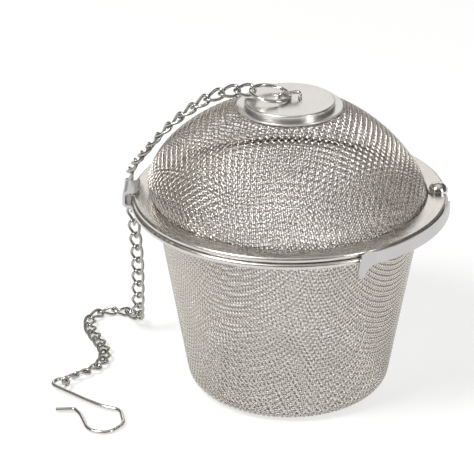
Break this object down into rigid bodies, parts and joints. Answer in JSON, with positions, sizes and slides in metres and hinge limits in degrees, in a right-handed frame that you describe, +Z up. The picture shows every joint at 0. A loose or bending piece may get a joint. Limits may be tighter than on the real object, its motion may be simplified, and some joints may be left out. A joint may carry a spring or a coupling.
{
  "type": "tea infuser",
  "caption": "Woven steel mesh tea infuser: tapered basket, domed mesh lid swivelling on a rivet, latch clip, and a curb chain with a hook.",
  "frame": {"origin": "centre of the basket's flat bottom", "axes": "+Z up along the basket's axis, +X towards the rivet, -X towards the latch clip, -Y towards the finger tab"},
  "size_m": [0.0547, 0.043, 0.0437],
  "materials": {
    "mesh_wire": "bright drawn wire, plain weave",
    "rim_steel": "rolled and lightly polished",
    "cap_steel": "pressed, polished",
    "satin_sheet": "satin sheet",
    "rivet_steel": "polished",
    "wire_steel": "drawn wire",
    "chain_steel": "tumbled wire"
  },
  "bodies": {
    "basket": {"basket_mesh": "mesh_wire", "basket_rim": "rim_steel", "guard_band": "satin_sheet", "latch_clip": "satin_sheet", "hinge_rivet": "rivet_steel", "rivet_washer": "rivet_steel"},
    "lid": {"lid_mesh": "mesh_wire", "lid_rim": "rim_steel", "top_cap": "cap_steel", "cap_backing": "satin_sheet", "eye_staple": "wire_steel"},
    "jump_ring": {"jump_ring": "wire_steel"},
    "chain_link_01": {"chain_link_01": "chain_steel"},
    "chain_link_02": {"chain_link_02": "chain_steel"},
    "chain_link_03": {"chain_link_03": "chain_steel"},
    "chain_link_04": {"chain_link_04": "chain_steel"},
    "chain_link_05": {"chain_link_05": "chain_steel"},
    "chain_link_06": {"chain_link_06": "chain_steel"},
    "chain_link_07": {"chain_link_07": "chain_steel"},
    "chain_link_08": {"chain_link_08": "chain_steel"},
    "chain_link_09": {"chain_link_09": "chain_steel"},
    "chain_link_10": {"chain_link_10": "chain_steel"},
    "chain_link_11": {"chain_link_11": "chain_steel"},
    "chain_link_12": {"chain_link_12": "chain_steel"},
    "chain_link_13": {"chain_link_13": "chain_steel"},
    "chain_link_14": {"chain_link_14": "chain_steel"},
    "chain_link_15": {"chain_link_15": "chain_steel"},
    "chain_link_16": {"chain_link_16": "chain_steel"},
    "chain_link_17": {"chain_link_17": "chain_steel"},
    "chain_link_18": {"chain_link_18": "chain_steel"},
    "chain_link_19": {"chain_link_19": "chain_steel"},
    "chain_link_20": {"chain_link_20": "chain_steel"},
    "chain_link_21": {"chain_link_21": "chain_steel"},
    "chain_link_22": {"chain_link_22": "chain_steel"},
    "chain_link_23": {"chain_link_23": "chain_steel"},
    "chain_link_24": {"chain_link_24": "chain_steel"},
    "chain_link_25": {"chain_link_25": "chain_steel"},
    "chain_link_26": {"chain_link_26": "chain_steel"},
    "chain_link_27": {"chain_link_27": "chain_steel"},
    "chain_link_28": {"chain_link_28": "chain_steel"},
    "chain_link_29": {"chain_link_29": "chain_steel"},
    "chain_link_30": {"chain_link_30": "chain_steel"},
    "chain_link_31": {"chain_link_31": "chain_steel"},
    "chain_link_32": {"chain_link_32": "chain_steel"},
    "chain_link_33": {"chain_link_33": "chain_steel"},
    "chain_link_34": {"chain_link_34": "chain_steel"},
    "chain_link_35": {"chain_link_35": "chain_steel"},
    "chain_link_36": {"chain_link_36": "chain_steel"},
    "chain_link_37": {"chain_link_37": "chain_steel"},
    "chain_link_38": {"chain_link_38": "chain_steel"},
    "chain_link_39": {"chain_link_39": "chain_steel"},
    "hook": {"hook": "wire_steel"}
  },
  "joints": [
    {"name": "lid_swivel", "type": "hinge", "parent": "basket", "child": "lid", "pos_m": [0.02015, 0, 0.0278], "axis": [0, 0, 1], "range_deg": [-118, 0]},
    {"name": "jump_ring_swivel", "type": "hinge", "parent": "lid", "child": "jump_ring", "pos_m": [0, 0, 0.04257], "axis": [0, 0, 1], "range_deg": [-25, 0]},
    {"name": "hook_swing", "type": "hinge", "parent": "chain_link_39", "child": "hook", "pos_m": [-0.0313, -0.00405, 0.00097], "axis": [0, 0, 1], "range_deg": [-12, 12]},
    {"name": "link_01_swing", "type": "hinge", "parent": "jump_ring", "child": "chain_link_01", "pos_m": [-0.00493, 0.00069, 0.0429], "axis": [0, 0, 1], "range_deg": [-8, 8]},
    {"name": "link_02_swing", "type": "hinge", "parent": "chain_link_01", "child": "chain_link_02", "pos_m": [-0.00704, 0.00128, 0.04265], "axis": [0, 0, -1], "range_deg": [-8, 8]},
    {"name": "link_03_swing", "type": "hinge", "parent": "chain_link_02", "child": "chain_link_03", "pos_m": [-0.00915, 0.00161, 0.04208], "axis": [0, 0, 1], "range_deg": [-8, 8]},
    {"name": "link_04_swing", "type": "hinge", "parent": "chain_link_03", "child": "chain_link_04", "pos_m": [-0.01114, 0.00183, 0.04116], "axis": [0, 0, -1], "range_deg": [-8, 8]},
    {"name": "link_05_swing", "type": "hinge", "parent": "chain_link_04", "child": "chain_link_05", "pos_m": [-0.01292, 0.00205, 0.03988], "axis": [0, 0, 1], "range_deg": [-8, 8]},
    {"name": "link_06_swing", "type": "hinge", "parent": "chain_link_05", "child": "chain_link_06", "pos_m": [-0.01464, 0.00217, 0.0385], "axis": [0, 0, -1], "range_deg": [-8, 8]},
    {"name": "link_07_swing", "type": "hinge", "parent": "chain_link_06", "child": "chain_link_07", "pos_m": [-0.01629, 0.00221, 0.03703], "axis": [0, 0, 1], "range_deg": [-8, 8]},
    {"name": "link_08_swing", "type": "hinge", "parent": "chain_link_07", "child": "chain_link_08", "pos_m": [-0.01778, 0.00236, 0.03541], "axis": [0, 0, -1], "range_deg": [-8, 8]},
    {"name": "link_09_swing", "type": "hinge", "parent": "chain_link_08", "child": "chain_link_09", "pos_m": [-0.01905, 0.00289, 0.03369], "axis": [0, 0, 1], "range_deg": [-8, 8]},
    {"name": "link_10_swing", "type": "hinge", "parent": "chain_link_09", "child": "chain_link_10", "pos_m": [-0.02017, 0.0038, 0.03202], "axis": [0, 0, -1], "range_deg": [-8, 8]},
    {"name": "link_11_swing", "type": "hinge", "parent": "chain_link_10", "child": "chain_link_11", "pos_m": [-0.02118, 0.00493, 0.03042], "axis": [0, 0, 1], "range_deg": [-8, 8]},
    {"name": "link_12_swing", "type": "hinge", "parent": "chain_link_11", "child": "chain_link_12", "pos_m": [-0.02195, 0.00607, 0.02869], "axis": [0, 0, -1], "range_deg": [-8, 8]},
    {"name": "link_13_swing", "type": "hinge", "parent": "chain_link_12", "child": "chain_link_13", "pos_m": [-0.02232, 0.00688, 0.02668], "axis": [0, 0, 1], "range_deg": [-8, 8]},
    {"name": "link_14_swing", "type": "hinge", "parent": "chain_link_13", "child": "chain_link_14", "pos_m": [-0.02224, 0.00716, 0.0245], "axis": [0, 0, -1], "range_deg": [-8, 8]},
    {"name": "link_15_swing", "type": "hinge", "parent": "chain_link_14", "child": "chain_link_15", "pos_m": [-0.02205, 0.00736, 0.02231], "axis": [0, 0, 1], "range_deg": [-8, 8]},
    {"name": "link_16_swing", "type": "hinge", "parent": "chain_link_15", "child": "chain_link_16", "pos_m": [-0.02188, 0.00764, 0.02012], "axis": [0, 0, -1], "range_deg": [-8, 8]},
    {"name": "link_17_swing", "type": "hinge", "parent": "chain_link_16", "child": "chain_link_17", "pos_m": [-0.02174, 0.00796, 0.01794], "axis": [0, 0, 1], "range_deg": [-8, 8]},
    {"name": "link_18_swing", "type": "hinge", "parent": "chain_link_17", "child": "chain_link_18", "pos_m": [-0.02164, 0.00834, 0.01577], "axis": [0, 0, -1], "range_deg": [-8, 8]},
    {"name": "link_19_swing", "type": "hinge", "parent": "chain_link_18", "child": "chain_link_19", "pos_m": [-0.0216, 0.00879, 0.01361], "axis": [0, 0, 1], "range_deg": [-8, 8]},
    {"name": "link_20_swing", "type": "hinge", "parent": "chain_link_19", "child": "chain_link_20", "pos_m": [-0.02162, 0.0093, 0.01146], "axis": [0, 0, -1], "range_deg": [-8, 8]},
    {"name": "link_21_swing", "type": "hinge", "parent": "chain_link_20", "child": "chain_link_21", "pos_m": [-0.02169, 0.00982, 0.00932], "axis": [0, 0, 1], "range_deg": [-8, 8]},
    {"name": "link_22_swing", "type": "hinge", "parent": "chain_link_21", "child": "chain_link_22", "pos_m": [-0.02177, 0.01035, 0.00717], "axis": [0, 0, -1], "range_deg": [-8, 8]},
    {"name": "link_23_swing", "type": "hinge", "parent": "chain_link_22", "child": "chain_link_23", "pos_m": [-0.02188, 0.01107, 0.00509], "axis": [0, 0, 1], "range_deg": [-8, 8]},
    {"name": "link_24_swing", "type": "hinge", "parent": "chain_link_23", "child": "chain_link_24", "pos_m": [-0.02204, 0.01221, 0.00321], "axis": [0, 0, -1], "range_deg": [-8, 8]},
    {"name": "link_25_swing", "type": "hinge", "parent": "chain_link_24", "child": "chain_link_25", "pos_m": [-0.02214, 0.01386, 0.00177], "axis": [0, 0, 1], "range_deg": [-8, 8]},
    {"name": "link_26_swing", "type": "hinge", "parent": "chain_link_25", "child": "chain_link_26", "pos_m": [-0.02252, 0.01584, 0.00091], "axis": [0, 0, -1], "range_deg": [-8, 8]},
    {"name": "link_27_swing", "type": "hinge", "parent": "chain_link_26", "child": "chain_link_27", "pos_m": [-0.02383, 0.01755, 0.00062], "axis": [0, 0, 1], "range_deg": [-5, 5]},
    {"name": "link_28_swing", "type": "hinge", "parent": "chain_link_27", "child": "chain_link_28", "pos_m": [-0.02593, 0.0181, 0.00058], "axis": [0, 0, -1], "range_deg": [-8, 8]},
    {"name": "link_29_swing", "type": "hinge", "parent": "chain_link_28", "child": "chain_link_29", "pos_m": [-0.02799, 0.0174, 0.00058], "axis": [0, 0, 1], "range_deg": [-8, 8]},
    {"name": "link_30_swing", "type": "hinge", "parent": "chain_link_29", "child": "chain_link_30", "pos_m": [-0.02922, 0.01562, 0.00058], "axis": [0, 0, -1], "range_deg": [-8, 8]},
    {"name": "link_31_swing", "type": "hinge", "parent": "chain_link_30", "child": "chain_link_31", "pos_m": [-0.02935, 0.01342, 0.00058], "axis": [0, 0, 1], "range_deg": [-8, 8]},
    {"name": "link_32_swing", "type": "hinge", "parent": "chain_link_31", "child": "chain_link_32", "pos_m": [-0.02878, 0.0113, 0.00058], "axis": [0, 0, -1], "range_deg": [-8, 8]},
    {"name": "link_33_swing", "type": "hinge", "parent": "chain_link_32", "child": "chain_link_33", "pos_m": [-0.02788, 0.00928, 0.00058], "axis": [0, 0, 1], "range_deg": [-8, 8]},
    {"name": "link_34_swing", "type": "hinge", "parent": "chain_link_33", "child": "chain_link_34", "pos_m": [-0.02698, 0.00726, 0.00058], "axis": [0, 0, -1], "range_deg": [-8, 8]},
    {"name": "link_35_swing", "type": "hinge", "parent": "chain_link_34", "child": "chain_link_35", "pos_m": [-0.02632, 0.00516, 0.00058], "axis": [0, 0, 1], "range_deg": [-8, 8]},
    {"name": "link_36_swing", "type": "hinge", "parent": "chain_link_35", "child": "chain_link_36", "pos_m": [-0.02623, 0.00297, 0.00058], "axis": [0, 0, -1], "range_deg": [-8, 8]},
    {"name": "link_37_swing", "type": "hinge", "parent": "chain_link_36", "child": "chain_link_37", "pos_m": [-0.02697, 0.0009, 0.00059], "axis": [0, 0, 1], "range_deg": [-8, 8]},
    {"name": "link_38_swing", "type": "hinge", "parent": "chain_link_37", "child": "chain_link_38", "pos_m": [-0.02838, -0.00078, 0.00068], "axis": [0, 0, -1], "range_deg": [-8, 8]},
    {"name": "link_39_swing", "type": "hinge", "parent": "chain_link_38", "child": "chain_link_39", "pos_m": [-0.02999, -0.00229, 0.00084], "axis": [0, 0, 1], "range_deg": [-8, 8]}
  ]
}
